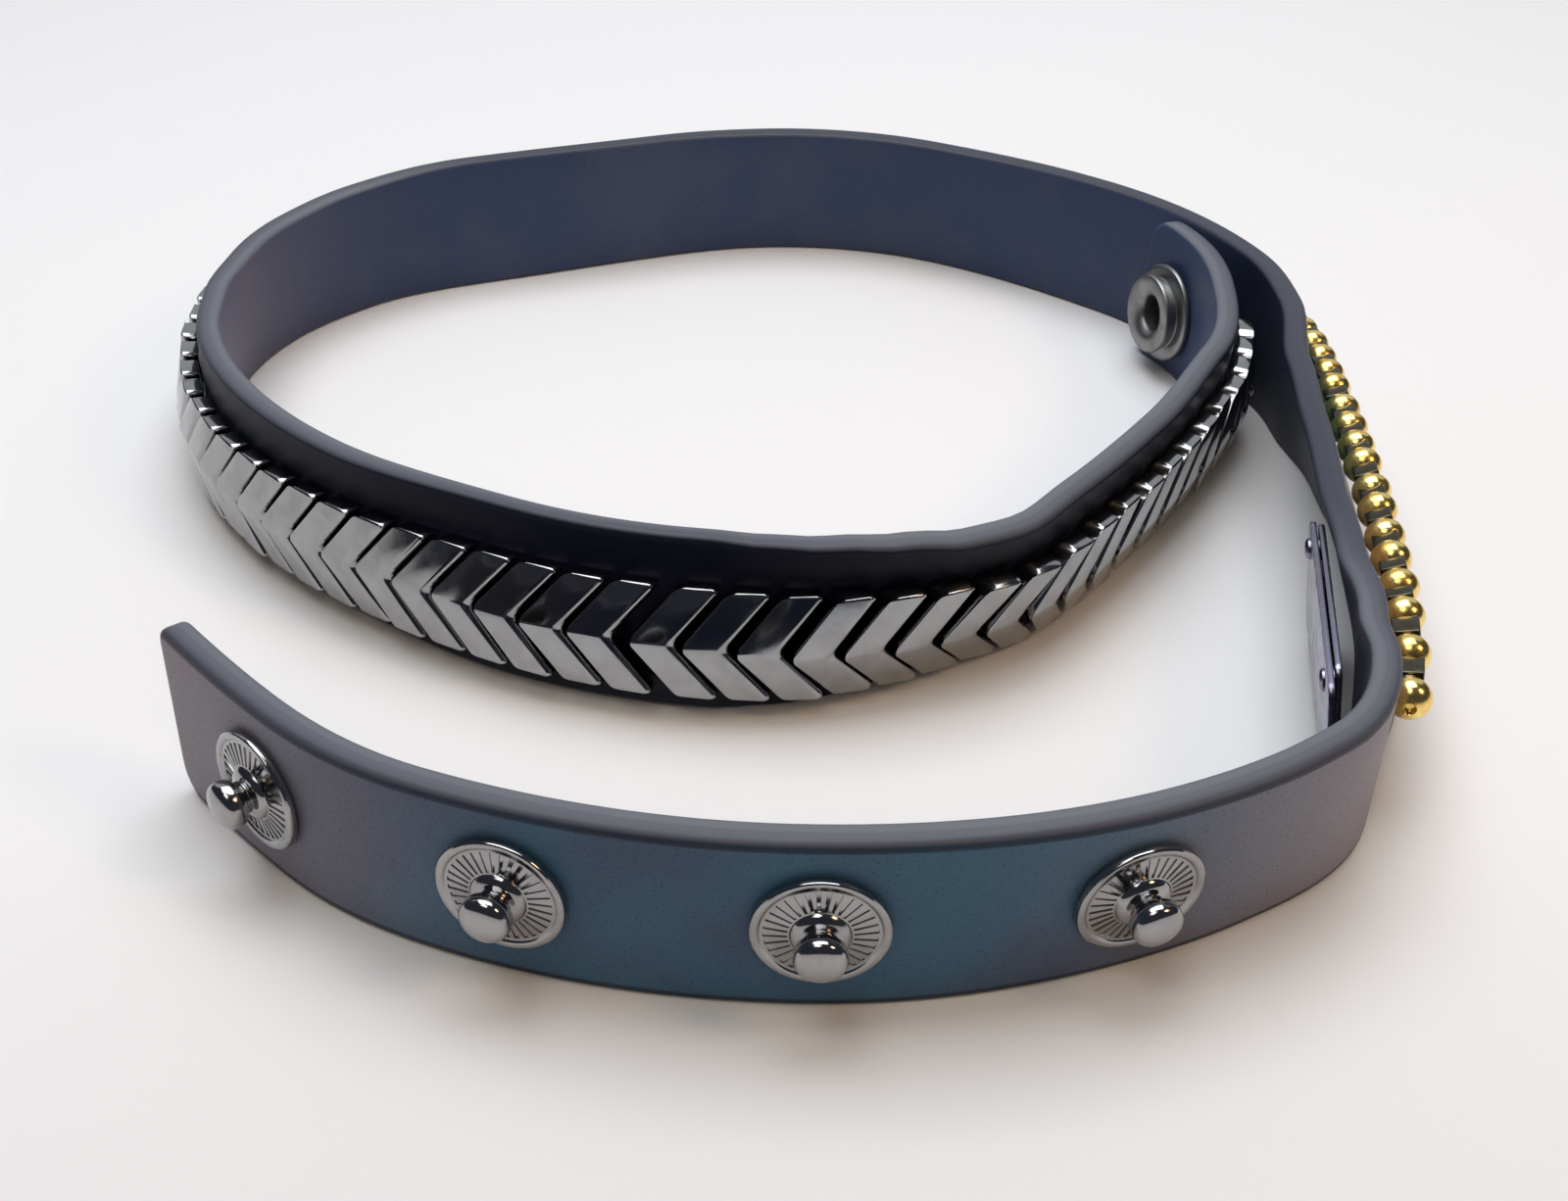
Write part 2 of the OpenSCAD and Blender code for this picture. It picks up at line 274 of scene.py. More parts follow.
# Strap: one long box with rounded edges, bent along its lie
strapLook = {
    "edgeSegments": 4,
    "cornerSegments": 6,
    "partingHalf": 0.09,
    "partingDepth": 0.008,
    "splitLonger": (100, 5),  # edges longer than this are split, in two rounds
    "splitCuts": 17,
    "heightCuts": (3.0, 6.0, 9.0),
    "endCuts": (0.8, 1.6, 2.4, 3.2),
    "holeSides": 48,
    "guideStep": 0.75,
}


def strapGuide():
    # the strap's middle line as a curve, tilted as the strap leans
    curve = bpy.data.curves.new("strapGuide", "CURVE")
    curve.dimensions = "3D"
    curve.twist_mode = "Z_UP"
    spline = curve.splines.new("POLY")
    count = round(strapLength / strapLook["guideStep"])
    spline.points.add(count)
    for i, point in enumerate(spline.points):
        x, y, _, lean = strapFrame(strapLength * i / count)
        point.co = (x, y, midHeight(lean), 1)
        point.tilt = math.radians(lean)
    guide = bpy.data.objects.new("strapGuide", curve)
    bpy.context.scene.collection.objects.link(guide)
    return guide


def cutStrapHoles(piece):
    # round holes for the studs' posts and for the socket's stem, while the strap is still flat
    places = [(studPlace(i), studLook["up"], studLook["holeRadius"]) for i in range(studLook["count"])]
    places.append((strapLength - socketLook["fromEnd"], socketLook["up"], socketLook["holeRadius"]))
    for s, up, radius in places:
        middle = (s, 0, up - strapForm["width"] / 2)
        drill(piece, radius, strapForm["thickness"], middle, (math.pi / 2, 0, 0), strapLook["holeSides"])


def buildStrap():
    width = strapForm["width"]
    piece = addBox((strapLength / 2, 0, 0), (strapLength, strapForm["thickness"], width))

    # rounded corners at the two ends, then rounded edges all round both faces
    editPiece(piece)
    corners = [
        (0, -width / 2, strapForm["freeLowRound"]),
        (0, width / 2, strapForm["freeHighRound"]),
        (strapLength, -width / 2, strapForm["innerEndRound"]),
        (strapLength, width / 2, strapForm["innerEndRound"]),
    ]
    for x, z, radius in corners:
        pick(piece, "EDGE", lambda e: all(abs(v.co.x - x) + abs(v.co.z - z) < tolerance for v in e.verts))
        bpy.ops.mesh.bevel(offset=radius, segments=strapLook["cornerSegments"], affect="EDGES")
    pick(piece, "EDGE", isLevel)
    bpy.ops.mesh.bevel(offset=strapForm["edgeRound"], segments=strapLook["edgeSegments"], affect="EDGES")

    # parting line between the two layers, round the whole edge
    for y in (-strapLook["partingHalf"], 0, strapLook["partingHalf"]):
        bisectAt((0, y, 0), (0, 1, 0))
    pick(piece, "VERT", lambda v: abs(v.co.y) < tolerance)
    bpy.ops.transform.shrink_fatten(value=-strapLook["partingDepth"])

    # sections along it
    for z in strapLook["heightCuts"]:
        bisectAt((0, 0, z - width / 2), (0, 0, 1))
    for x in strapLook["endCuts"]:
        bisectAt((x, 0, 0), (1, 0, 0))
        bisectAt((strapLength - x, 0, 0), (1, 0, 0))
    for shortest in strapLook["splitLonger"]:
        pick(piece, "EDGE", lambda e: abs(e.verts[0].co.x - e.verts[1].co.x) > shortest)
        bpy.ops.mesh.subdivide(number_cuts=strapLook["splitCuts"])
    bpy.ops.object.mode_set(mode="OBJECT")
    cutStrapHoles(piece)

    # each point keeps where it lies on the flat strap, for the strap's finish
    flat = piece.data.attributes.new("flatPlace", "FLOAT_VECTOR", "POINT")
    for i, vertex in enumerate(piece.data.vertices):
        flat.data[i].vector = vertex.co

    guide = strapGuide()
    applyModifier(piece, "CURVE", object=guide, deform_axis="POS_X")
    bpy.data.objects.remove(guide)
    layPiece(piece, Matrix.Scale(mm, 4))
    return piece


# Snap studs: heights are out from the strap's middle. Rings are steps from the radius and the height
# of the part that they shape, and the hub's have plain radii
studLook = {
    "count": 4,
    "first": 10.5,
    "pitch": 16.6,
    "up": 6.3,
    "discRadius": 3.7,
    "headRadius": 1.43,
    "headTop": 3.98,
    "postRadius": 1.0,
    "holeRadius": 1.15,
    "flangeRadius": 2.75,
    "face": 1.05,
    "back": -1.15,
    "ribs": 32,
    "ribsFrom": 1.72,
    "ribsTo": 3.0,
    "ribDepth": 0.07,
    "ribWall": 0.018,
    "coneFoot": 0.06,
    "coneHeights": (0.35, 0.36, 0.53),  # its foot, its outer end and its inner end, above the face
    "flangeRings": [(-0.7, -0.42), (-0.15, -0.4), (-0.04, -0.34), (0, -0.25), (0, -0.06), (-0.06, 0)],
    "rimRings": [
        (-0.08, 0), (-0.02, 0.05), (0, 0.13), (0, 0.33), (-0.03, 0.42),
        (-0.1, 0.48), (-0.22, 0.5), (-0.36, 0.49), (-0.46, 0.44), (-0.53, 0.37),
    ],
    "hubRings": [
        (1.64, 0.56), (1.60, 0.66), (1.52, 0.78), (1.39, 0.89),
        (1.22, 0.97), (1.06, 1.02), (0.98, 1.08), (0.97, 1.16),
    ],
    "headRings": [
        (-0.43, -1.60), (-0.31, -1.48), (-0.12, -1.36), (-0.03, -1.24), (0, -1.08), (0, -0.72),
        (-0.03, -0.56), (-0.10, -0.42), (-0.21, -0.31), (-0.38, -0.21), (-0.62, -0.12),
        (-0.92, -0.05), (-1.2, -0.01), (-1.38, 0),
    ],
}


def studPlace(i):
    return studLook["first"] + i * studLook["pitch"]


def buildStud():
    look = studLook
    face, back, post = look["face"], look["back"], look["postRadius"]
    footRise, outerRise, innerRise = look["coneHeights"]
    rings = ringsFrom(look["flangeRadius"], back, look["flangeRings"])
    rings += [(post, back), (post, face)]
    # disc, with its edge rolled over into a raised rim
    rings += ringsFrom(look["discRadius"], face, look["rimRings"])
    # ribbed cone
    rings += [(look["ribsTo"] + look["coneFoot"], face + footRise), (look["ribsTo"], face + outerRise)]
    rings += [(look["ribsFrom"], face + innerRise)]
    # round hub and waist
    rings += ringsFrom(0, face, look["hubRings"])
    # blunt head: flared underside, short straight side, then a flat dome
    rings += ringsFrom(look["headRadius"], look["headTop"], look["headRings"])
    piece = turnPiece(rings, 2 * look["ribs"])

    # every second face of the cone is pressed in, which leaves the ribs
    editPiece(piece)
    step = math.pi / look["ribs"]
    middle = (look["ribsFrom"] + look["ribsTo"]) / 2
    reach = (look["ribsTo"] - look["ribsFrom"]) / 4

    def isGroove(f):
        place = f.calc_center_median()
        turn = math.atan2(place.y, place.x) % (2 * math.pi)
        onCone = abs(place.xy.length - middle) < reach and place.z > face
        return onCone and int(turn / step) % 2 == 0

    pick(piece, "FACE", isGroove)
    bpy.ops.mesh.inset(thickness=look["ribWall"], depth=-look["ribDepth"], use_individual=True)
    bpy.ops.object.mode_set(mode="OBJECT")
    return piece


# Chevrons: heights are out from the strap's middle, and the point lies at half of the width
chevronLook = {
    "count": 40,
    "first": 246.9,
    "pitch": 3.3,
    "breakAfter": 20,
    "breakGap": 0.8,
    "pathOut": 2.0,
    "up": 5.3,
    "arm": 2.9,
    "sweep": 3.1,
    "reach": 3.8,
    "base": 1.13,
    "ridge": 3.1,
    "end": 2.46,
    "foot": 0.2,
    "footHeight": 0.3,
    "round": 0.75,  # widest rounding, at the corners of the arms
    "trailRound": 0.65,  # the others, as shares of it
    "leadRound": 0.15,
    "endRound": 0.2,
    "ridgeRound": 0.2,
    "roundSegments": 4,
    "tilt": 1.1,  # degrees that single chevrons sit askew, at most
    "tiltSteps": (2.4, 3.7),  # how far round its swing each tilt goes from one to the next
}


def chevronPlace(i):
    look = chevronLook
    middle = (look["arm"] + look["sweep"]) / 2
    extra = look["breakGap"] if i > look["breakAfter"] else 0
    first = pathAt(look["first"], look["pathOut"]) + middle
    return strapAt(first + (i - 1) * look["pitch"] + extra, look["pathOut"])


def chevronAskew(i):
    # each one sits a little askew, about its own middle
    tilt = math.radians(chevronLook["tilt"])
    alongStep, acrossStep = chevronLook["tiltSteps"]
    roll = Matrix.Rotation(tilt * math.sin(alongStep * i), 4, "X")
    pitch = Matrix.Rotation(tilt * math.sin(acrossStep * i), 4, "Y")
    middle = (chevronLook["base"] + chevronLook["end"]) / 2
    return Matrix.Translation((0, 0, middle)) @ roll @ pitch @ Matrix.Translation((0, 0, -middle))


def buildChevron():
    look = chevronLook
    half = (look["arm"] + look["sweep"]) / 2
    low, high = look["base"] + look["footHeight"], look["ridge"]
    piece = addBox(
        (look["arm"] / 2 - half, 0, (low + high) / 2), (look["arm"], 2 * look["reach"], high - low)
    )

    def isOut(v):
        return abs(v.co.y) > look["reach"] / 2

    # the ends are swept back and lowered, which leaves a ridge between the arms
    editPiece(piece)
    bisectAt((0, 0, 0), (0, 1, 0))
    pick(piece, "VERT", isOut)
    bpy.ops.transform.translate(value=(look["sweep"], 0, 0))
    pick(piece, "VERT", lambda v: isOut(v) and v.co.z > high - tolerance)
    bpy.ops.transform.translate(value=(0, 0, look["end"] - high))

    # the foot is drawn in
    pick(piece, "FACE", lambda f: f.normal.z < -0.9)
    bpy.ops.mesh.inset(thickness=look["foot"])
    bpy.ops.transform.translate(value=(0, 0, -look["footHeight"]))

    # each kind of edge has its own share of the rounding
    halfRise = (look["end"] - low) / 2

    def isTop(e):
        return all(v.co.z > low + halfRise for v in e.verts)

    def isUpright(e):
        a, b = (v.co for v in e.verts)
        return (a.xy - b.xy).length < tolerance and abs(a.z - b.z) > halfRise

    def isEnd(e):
        return isTop(e) and all(isOut(v) for v in e.verts)

    def isRidge(e):
        return isTop(e) and all(abs(v.co.y) < tolerance for v in e.verts)

    def isLead(e):
        # along the side towards the free end
        middle = (e.verts[0].co + e.verts[1].co) / 2
        return isTop(e) and abs(abs(middle.y) - look["reach"] / 2) < tolerance and middle.x < 0

    def isTrail(e):
        return isTop(e) and not (isEnd(e) or isRidge(e) or isLead(e))

    rounds = [
        (isUpright, 1.0), (isEnd, look["endRound"]), (isRidge, look["ridgeRound"]),
        (isLead, look["leadRound"]), (isTrail, look["trailRound"]),
    ]
    for test, share in rounds:
        pick(piece, "EDGE", test)
        bpy.ops.transform.edge_bevelweight(value=share)
    bpy.ops.object.mode_set(mode="OBJECT")
    applyModifier(
        piece, "BEVEL", width=look["round"], segments=look["roundSegments"], limit_method="WEIGHT",
        use_clamp_overlap=True, harden_normals=False, miter_outer="MITER_SHARP",
    )
    return piece


# Gold row: drilled balls, with a square spacer between each two
rowLook = {
    "first": 84.3,
    "up": 7.0,
    "ballRadius": 1.34,
    "ballHalfLength": 1.225,
    "out": 2.275,
    "gaps": [4.3, 4, 3.3, 3.4, 2.8, 3.5, 2.6, 3.7, 2.6, 2.9, 2.8, 3.5, 2.6, 2.9, 2.6, 2.6, 2.6],
    "drillShare": 0.945,  # faces of a ball past this share of its radius are drilled in
    "drillLip": (0.03, 0.05),  # width and depth
    "drillDepth": 0.3,
    "boreRadius": 0.6,
    "spacerSide": 1.7,
    "spacerOff": 1.14,  # from a ball's centre to the next spacer's face
    "spacerThick": 1.0,  # as modelled, before each is drawn out to fill its gap
    "spacerMost": 1.7,
    "spacerRound": 0.09,
    "roundSegments": 3,
    "sides": 32,
    "rings": 20,
}


def rowPath():
    # distances of the balls along the row
    marks = [pathAt(rowLook["first"], rowLook["out"])]
    for gap in rowLook["gaps"]:
        marks.append(marks[-1] + gap)
    return marks


def buildBall():
    # a ball with its poles along the row, where it is drilled
    radius = rowLook["ballRadius"]
    lipWidth, lipDepth = rowLook["drillLip"]
    clearSelection()
    bpy.ops.mesh.primitive_uv_sphere_add(
        segments=rowLook["sides"], ring_count=rowLook["rings"], radius=radius, rotation=(0, math.pi / 2, 0)
    )
    piece = bpy.context.object
    bpy.ops.object.transform_apply(location=True, rotation=True, scale=True)
    editPiece(piece)
    for side in (-1, 1):
        pick(piece, "FACE", lambda f: side * f.calc_center_median().x > rowLook["drillShare"] * radius)
        bpy.ops.mesh.inset(thickness=lipWidth)
        bpy.ops.transform.translate(value=(-side * lipDepth, 0, 0))
        step = (-side * rowLook["drillDepth"], 0, 0)
        bpy.ops.mesh.extrude_region_move(TRANSFORM_OT_translate={"value": step})
    bpy.ops.object.mode_set(mode="OBJECT")
    layPiece(piece, Matrix.Diagonal((rowLook["ballHalfLength"] / radius, 1, 1, 1)))
    return piece


def buildSpacer():
    # a square spacer, drilled along the row
    side, thick = rowLook["spacerSide"], rowLook["spacerThick"]
    piece = addBox((0, 0, 0), (thick, side, side))
    drill(piece, rowLook["boreRadius"], thick, (0, 0, 0), (0, math.pi / 2, 0), rowLook["sides"])
    applyModifier(
        piece, "BEVEL", width=rowLook["spacerRound"], segments=rowLook["roundSegments"], limit_method="ANGLE"
    )
    return piece


def layRow(ball, spacer):
    # copies of both along the row, joined into one piece each
    marks = rowPath()
    balls, spacers = [], []
    for i, mark in enumerate(marks):
        twin = copyPiece(ball, f"ball{i}")
        layPiece(twin, onStrap(strapAt(mark, rowLook["out"]), rowLook["up"], rowLook["out"]))
        balls.append(twin)
    for i, gap in enumerate(rowLook["gaps"]):
        thick = min(gap - 2 * rowLook["spacerOff"], rowLook["spacerMost"])
        twin = copyPiece(spacer, f"spacer{i}")
        for vertex in twin.data.vertices:
            vertex.co.x += math.copysign((thick - rowLook["spacerThick"]) / 2, vertex.co.x)
        middle = strapAt((marks[i] + marks[i + 1]) / 2, rowLook["out"])
        layPiece(twin, onStrap(middle, rowLook["up"], rowLook["out"]))
        spacers.append(twin)
    bpy.data.objects.remove(ball)
    bpy.data.objects.remove(spacer)
    return joinPieces(balls), joinPieces(spacers)


# Snap socket on the inner face: heights run inwards from the strap's middle. Rings are steps, as the
# studs' are
socketLook = {
    "fromEnd": 4.8,
    "up": 5.1,
    "holeRadius": 2.25,
    "stemRadius": 2.1,
    "flangeRadius": 4.1,
    "faceRadius": 3.3,
    "boreRadius": 1.48,
    "seat": 1.43,
    "height": 1.75,
    "stemEnd": -0.8,
    "stemRings": [(-0.1, 0), (0, 0.1)],
    "flangeRings": [(-0.08, 0), (0, 0.08), (0, 0.22), (-0.06, 0.36), (-0.2, 0.46), (-0.4, 0.5)],
    "drumFoot": [(-0.25, 0.55), (-0.33, 0.62)],
    "drumRings": [
        (-0.35, -0.6), (-0.28, -0.48), (-0.06, -0.42), (0, -0.34), (0, -0.18), (-0.06, -0.06), (-0.2, 0),
    ],
    "funnelRings": [
        (0.95, -0.03), (0.7, -0.08), (0.42, -0.2), (0.18, -0.4), (0.04, -0.6), (0, -0.75),
    ],
    "floorRise": (0.5, 0.4),  # floor of the bore above the stem's end, at its wall and further in
    "sides": 64,
}


def buildSocket():
    look = socketLook
    seat, stemEnd, stem = look["seat"], look["stemEnd"], look["stemRadius"]
    face, bore = look["faceRadius"], look["boreRadius"]
    top = seat + look["height"]
    # stem, then the flange with its rolled edge
    rings = ringsFrom(stem, stemEnd, look["stemRings"]) + [(stem, seat)]
    rings += ringsFrom(look["flangeRadius"], seat, look["flangeRings"])
    # drum
    rings += ringsFrom(face, seat, look["drumFoot"]) + ringsFrom(face, top, look["drumRings"])
    # face, and the funnel that takes a stud's head
    rings += ringsFrom(bore, top, look["funnelRings"])
    atWall, within = look["floorRise"]
    rings += [(bore, stemEnd + atWall), (bore * 0.5, stemEnd + within)]
    return turnPiece(rings, look["sides"])


# Inner plate: two layers and two rivets, standing off the tight bend
plateLook = {
    "top": 10.0,
    "height": 8.0,
    "thick": 0.42,
    "groove": 0.12,
    "near": (79.7, 1.0),  # distance along the strap, and gap to it
    "far": (99.8, 0.5),
    "lean": 7.0,
    "short": 2.2,  # how much shorter the layer next to the strap is
    "lower": 0.2,  # and how much narrower at each side
    "rivets": (3.1, 17.8),
    "rivetDown": 1.4,
    "rivetRadius": 0.7,
    "rivetStart": 0.02,
    "rivetRings": [(1.0, 0), (0.97, 0.14), (0.85, 0.24), (0.6, 0.32), (0.2, 0.35)],  # shares, heights
    "rivetSides": 32,
    "endRound": 0.9,
    "endSegments": 5,
    "edgeRound": 0.12,
    "edgeSegments": 2,
}


def plateCorner(s, gap):
    # top corner of the plate, off the strap's inner face
    x, y, heading, lean = strapFrame(s)
    tilt, way = math.radians(lean), math.radians(heading)
    rise = plateLook["top"] - strapForm["width"] / 2
    side = (-strapForm["thickness"] / 2 - gap) * math.cos(tilt) + rise * math.sin(tilt)
    return Vector((x + side * math.sin(way), y - side * math.cos(way)))


def roundedPlate(start, length, height, low, thick, offset):
    # one layer of the plate, with rounded corners and softened edges
    middle = (start + length / 2, offset + thick / 2, low + height / 2)
    piece = addBox(middle, (length, thick, height))
    editPiece(piece)
    pick(piece, "EDGE", lambda e: not isLevel(e))
    bpy.ops.mesh.bevel(offset=plateLook["endRound"], segments=plateLook["endSegments"], affect="EDGES")
    pick(piece, "EDGE", isLevel)
    bpy.ops.mesh.bevel(offset=plateLook["edgeRound"], segments=plateLook["edgeSegments"], affect="EDGES")
    bpy.ops.object.mode_set(mode="OBJECT")
    return piece


def buildPlate():
    look = plateLook
    near, far = plateCorner(*look["near"]), plateCorner(*look["far"])
    length = (far - near).length
    thick, groove, short, lower = look["thick"], look["groove"], look["short"], look["lower"]
    layers = [
        roundedPlate(0, length, look["height"], 0, thick, thick + groove),
        roundedPlate(short, length - short, look["height"] - 2 * lower, lower, thick, 0),
    ]
    radius, total = look["rivetRadius"], 2 * thick + groove
    rings = [(radius, look["rivetStart"])]
    rings += [(radius * share, total + rise) for share, rise in look["rivetRings"]]
    turn = Matrix.Rotation(math.radians(-90), 4, "X")
    for x in look["rivets"]:
        rivet = turnPiece(rings, look["rivetSides"])
        layPiece(rivet, Matrix.Translation((x, 0, look["height"] - look["rivetDown"])) @ turn)
        layers.append(rivet)
    piece = joinPieces(layers)
    way = math.atan2(far.y - near.y, far.x - near.x)
    place = Matrix.Translation((near.x, near.y, look["top"])) @ Matrix.Rotation(way, 4, "Z")
    lean = Matrix.Rotation(math.radians(-look["lean"]), 4, "X")
    layPiece(piece, Matrix.Scale(mm, 4) @ place @ lean @ Matrix.Translation((0, 0, -look["height"])))
    return piece


# Materials
def addNode(tree, kind, settings, inputs):
    # a node whose inputs are linked where they are given a socket, and set otherwise
    node = tree.nodes.new(kind)
    for name, value in settings.items():
        setattr(node, name, value)
    for name, value in inputs.items():
        if isinstance(value, bpy.types.NodeSocket):
            tree.links.new(value, node.inputs[name])
        else:
            node.inputs[name].default_value = value
    return node


def addMath(tree, operation, a, b=0.0):
    return addNode(tree, "ShaderNodeMath", {"operation": operation}, {0: a, 1: b}).outputs[0]


def addRange(tree, value, low, high, toLow=0.0, toHigh=1.0):
    # smooth ramp between two values
    node = addNode(tree, "ShaderNodeMapRange", {"interpolation_type": "SMOOTHSTEP"},
                   {"Value": value, "From Min": low, "From Max": high, "To Min": toLow, "To Max": toHigh})
    return node.outputs[0]


def multiply(tree, a, b):
    return addMath(tree, "MULTIPLY", a, b)


def addBand(tree, value, rise, fall, most=1.0):
    # a mask that rises along one stretch and falls again along another
    return multiply(tree, addRange(tree, value, *rise, 0.0, most), addRange(tree, value, *fall))


def addMix(tree, factor, a, b):
    return addNode(tree, "ShaderNodeMix", {"data_type": "RGBA"}, {0: factor, 6: a, 7: b}).outputs[2]


def addNoise(tree, place, scale, **settings):
    inputs = {"Vector": place, "Scale": scale, **settings}
    return addNode(tree, "ShaderNodeTexNoise", {}, inputs).outputs["Fac"]


def addBump(tree, height, depth, strength, invert=False):
    inputs = {"Height": height, "Distance": depth * mm, "Strength": strength}
    return addNode(tree, "ShaderNodeBump", {"invert": invert}, inputs).outputs["Normal"]


def newGroup(name, inputs, outputs):
    # a node group: an input without a value is a vector, and all else is a number
    group = bpy.data.node_groups.new(name, "ShaderNodeTree")
    for title, value in inputs.items():
        kind = "NodeSocketVector" if value is None else "NodeSocketFloat"
        socket = group.interface.new_socket(title, in_out="INPUT", socket_type=kind)
        if value is not None:
            socket.default_value = value
    for title in outputs:
        group.interface.new_socket(title, in_out="OUTPUT", socket_type="NodeSocketFloat")
    return group, group.nodes.new("NodeGroupInput").outputs, group.nodes.new("NodeGroupOutput").inputs


def useGroup(tree, group, inputs):
    return addNode(tree, "ShaderNodeGroup", {"node_tree": group}, inputs).outputs


def newMaterial(name, settings):
    # a material with its shader, whose fixed values are set on the shader's own sockets
    material = bpy.data.materials.new(name)
    material.use_nodes = True
    tree = material.node_tree
    shader = tree.nodes["Principled BSDF"]
    for title, value in settings.items():
        shader.inputs[title].default_value = value
    return material, tree, shader


grainLook = {
    "smoothness": 0.6,
    "poresFiner": 2.3,  # than the pebbles
    "poreDetail": 3.0,
    "poreRoughness": 0.65,
    "poreMask": (0.46, 0.3),
    "waveDetail": 2.0,
}


def makeGrainGroup():
    # fine grain of a coated strap: pebbles, fine pores and slow waves, all in millimetres
    look = grainLook
    group, given, out = newGroup(
        "strapGrain", {"Place": None, "Pebble Size": 0.35, "Pore Amount": 0.4, "Wave Size": 9.0},
        ["Height", "Pores", "Wave"],
    )
    fine = addMath(group, "DIVIDE", 1.0, given["Pebble Size"])
    slow = addMath(group, "DIVIDE", 1.0, given["Wave Size"])
    cells = addNode(
        group, "ShaderNodeTexVoronoi", {"feature": "SMOOTH_F1"},
        {"Vector": given["Place"], "Scale": fine, "Smoothness": look["smoothness"]},
    ).outputs["Distance"]
    pores = addNoise(group, given["Place"], multiply(group, fine, look["poresFiner"]),
                     Detail=look["poreDetail"], Roughness=look["poreRoughness"])
    waves = addNoise(group, given["Place"], slow, Detail=look["waveDetail"])
    poreMask = addRange(group, pores, *look["poreMask"])
    rough = multiply(group, poreMask, given["Pore Amount"])
    group.links.new(addMath(group, "SUBTRACT", cells, rough), out["Height"])
    group.links.new(poreMask, out["Pores"])
    group.links.new(waves, out["Wave"])
    return group


wearLook = {
    "smudgeDetail": 4.0,
    "smudgeRoughness": 0.6,
    "smudgeDistortion": 0.6,
    "smudgeMask": (0.35, 0.7),
    "hairlineTurn": (0.5, 0.3, 0.9),
    "hairlineStretch": (1.0, 0.06, 1.0),
    "hairlineDetail": 2.0,
    "hairlineRoughness": 0.5,
    "hairlineMask": (0.6, 0.72),
    "hairlineDepth": 0.0015,
    "hairlineStrength": 0.3,
    "speckSize": 0.5,
    "speckMask": (0.12, 0.03),
    "speckMost": 0.3,
}


def makeWearGroup():
    # handling marks on polished metal: smudges, hairlines and specks
    look = wearLook
    group, given, out = newGroup(
        "metalWear", {"Place": None, "Smudge Size": 2.5, "Hairline Size": 0.12, "Speck Size": 0.25},
        ["Smudge", "Hairlines", "Specks"],
    )
    smudge = addNoise(group, given["Place"], addMath(group, "DIVIDE", 1.0, given["Smudge Size"]),
                      Detail=look["smudgeDetail"], Roughness=look["smudgeRoughness"],
                      Distortion=look["smudgeDistortion"])
    stretched = addNode(
        group, "ShaderNodeMapping", {},
        {"Vector": given["Place"], "Rotation": look["hairlineTurn"], "Scale": look["hairlineStretch"]},
    ).outputs["Vector"]
    hairlines = addNoise(group, stretched, addMath(group, "DIVIDE", 1.0, given["Hairline Size"]),
                         Detail=look["hairlineDetail"], Roughness=look["hairlineRoughness"])
    specks = addNode(
        group, "ShaderNodeTexVoronoi", {"feature": "F1"},
        {"Vector": given["Place"], "Scale": addMath(group, "DIVIDE", 1.0, given["Speck Size"]),
         "Randomness": 1.0},
    ).outputs["Distance"]
    group.links.new(addRange(group, smudge, *look["smudgeMask"]), out["Smudge"])
    group.links.new(addRange(group, hairlines, *look["hairlineMask"]), out["Hairlines"])
    group.links.new(addRange(group, specks, *look["speckMask"]), out["Specks"])
    return group


# Strap's finish: places are on the flat strap, X along it, and from its middle Y inwards through it
# and Z up its width. Each pair says where a mask begins and where it is full
strapFinish = {
    "shader": {
        "Specular IOR Level": 0.24,
        "Sheen Weight": 0.02,
        "Sheen Roughness": 0.4,
        "Sheen Tint": (0.55, 0.7, 1.0, 1),
    },
    "outerFace": (0.044, 0.112, 0.185, 1),
    "innerFace": (0.036, 0.054, 0.120, 1),
    "outerFrom": (0.2, -0.2),
    # slow drift of the colour
    "warmCloud": (0.056, 0.070, 0.125, 1),
    "cloudFrom": (0.42, 0.68),
    "cloudMost": 0.7,
    # painted sheen: paler and warmer at the free end, round the tight bend, and on the inner face at the
    # left bend, standing for glancing reflection and warm light
    "paintedSheen": (0.335, 0.265, 0.280, 1),
    "paintedSheenFree": (30.0, 0.0),
    "paintedSheenFreeMost": 0.7,
    "paintedSheenBend": [(50.0, 82.0), (118.0, 96.0)],
    "paintedSheenBendMost": 0.75,
    "paintedSheenLeft": [(226.0, 256.0), (340.0, 300.0)],
    "paintedSheenLeftMost": 0.28,
    # painted shade: darker inner face on the outer turn's front and right, where the inner turns shade it
    "paintedInnerShade": (0.004, 0.006, 0.018, 1),
    "paintedInnerShadeFrom": (150.0, 136.0),
    "paintedInnerShadeMost": 0.85,
    # near black under the chevrons, from before the first to past the last
    "underChevrons": (0.0015, 0.002, 0.010, 1),
    "underFirst": (-6, 4),
    "underLast": (8, 2),
    # pores
    "fleck": (0.004, 0.008, 0.018, 1),
    "fleckMost": 0.5,
    # dark line where the outer face meets the painted edge, below the top by this much
    "rim": (0.006, 0.008, 0.020, 1),
    "rimBelow": (0.7, 0.5),
    "rimMost": 0.8,
    # painted edge, lighter on its inner side and darker round the back
    "edgeOuter": (0.064, 0.068, 0.090, 1),
    "edge": (0.125, 0.135, 0.16, 1),
    "edgeBelow": (0.32, 0.12),
    "edgeInner": (-0.75, 0.45),
    "darkEdge": (0.045, 0.05, 0.07, 1),
    "darkEdgeBack": [(84.0, 102.0), (236.0, 216.0)],
    # faint parting line between the layers
    "parting": (0.05, 0.055, 0.07, 1),
    "partingFrom": (0.16, 0.05),
    "partingMost": 0.2,
    # gloss and grain
    "roughness": 0.5,
    "edgeRoughness": 0.42,
    "poreRough": 0.08,
    "waveRough": 0.12,
    "pebbleSize": 0.42,
    "poreAmount": 0.35,
    "waveSize": 11.0,
    "grainDepth": 0.014,
    "grainStrength": 0.5,
}


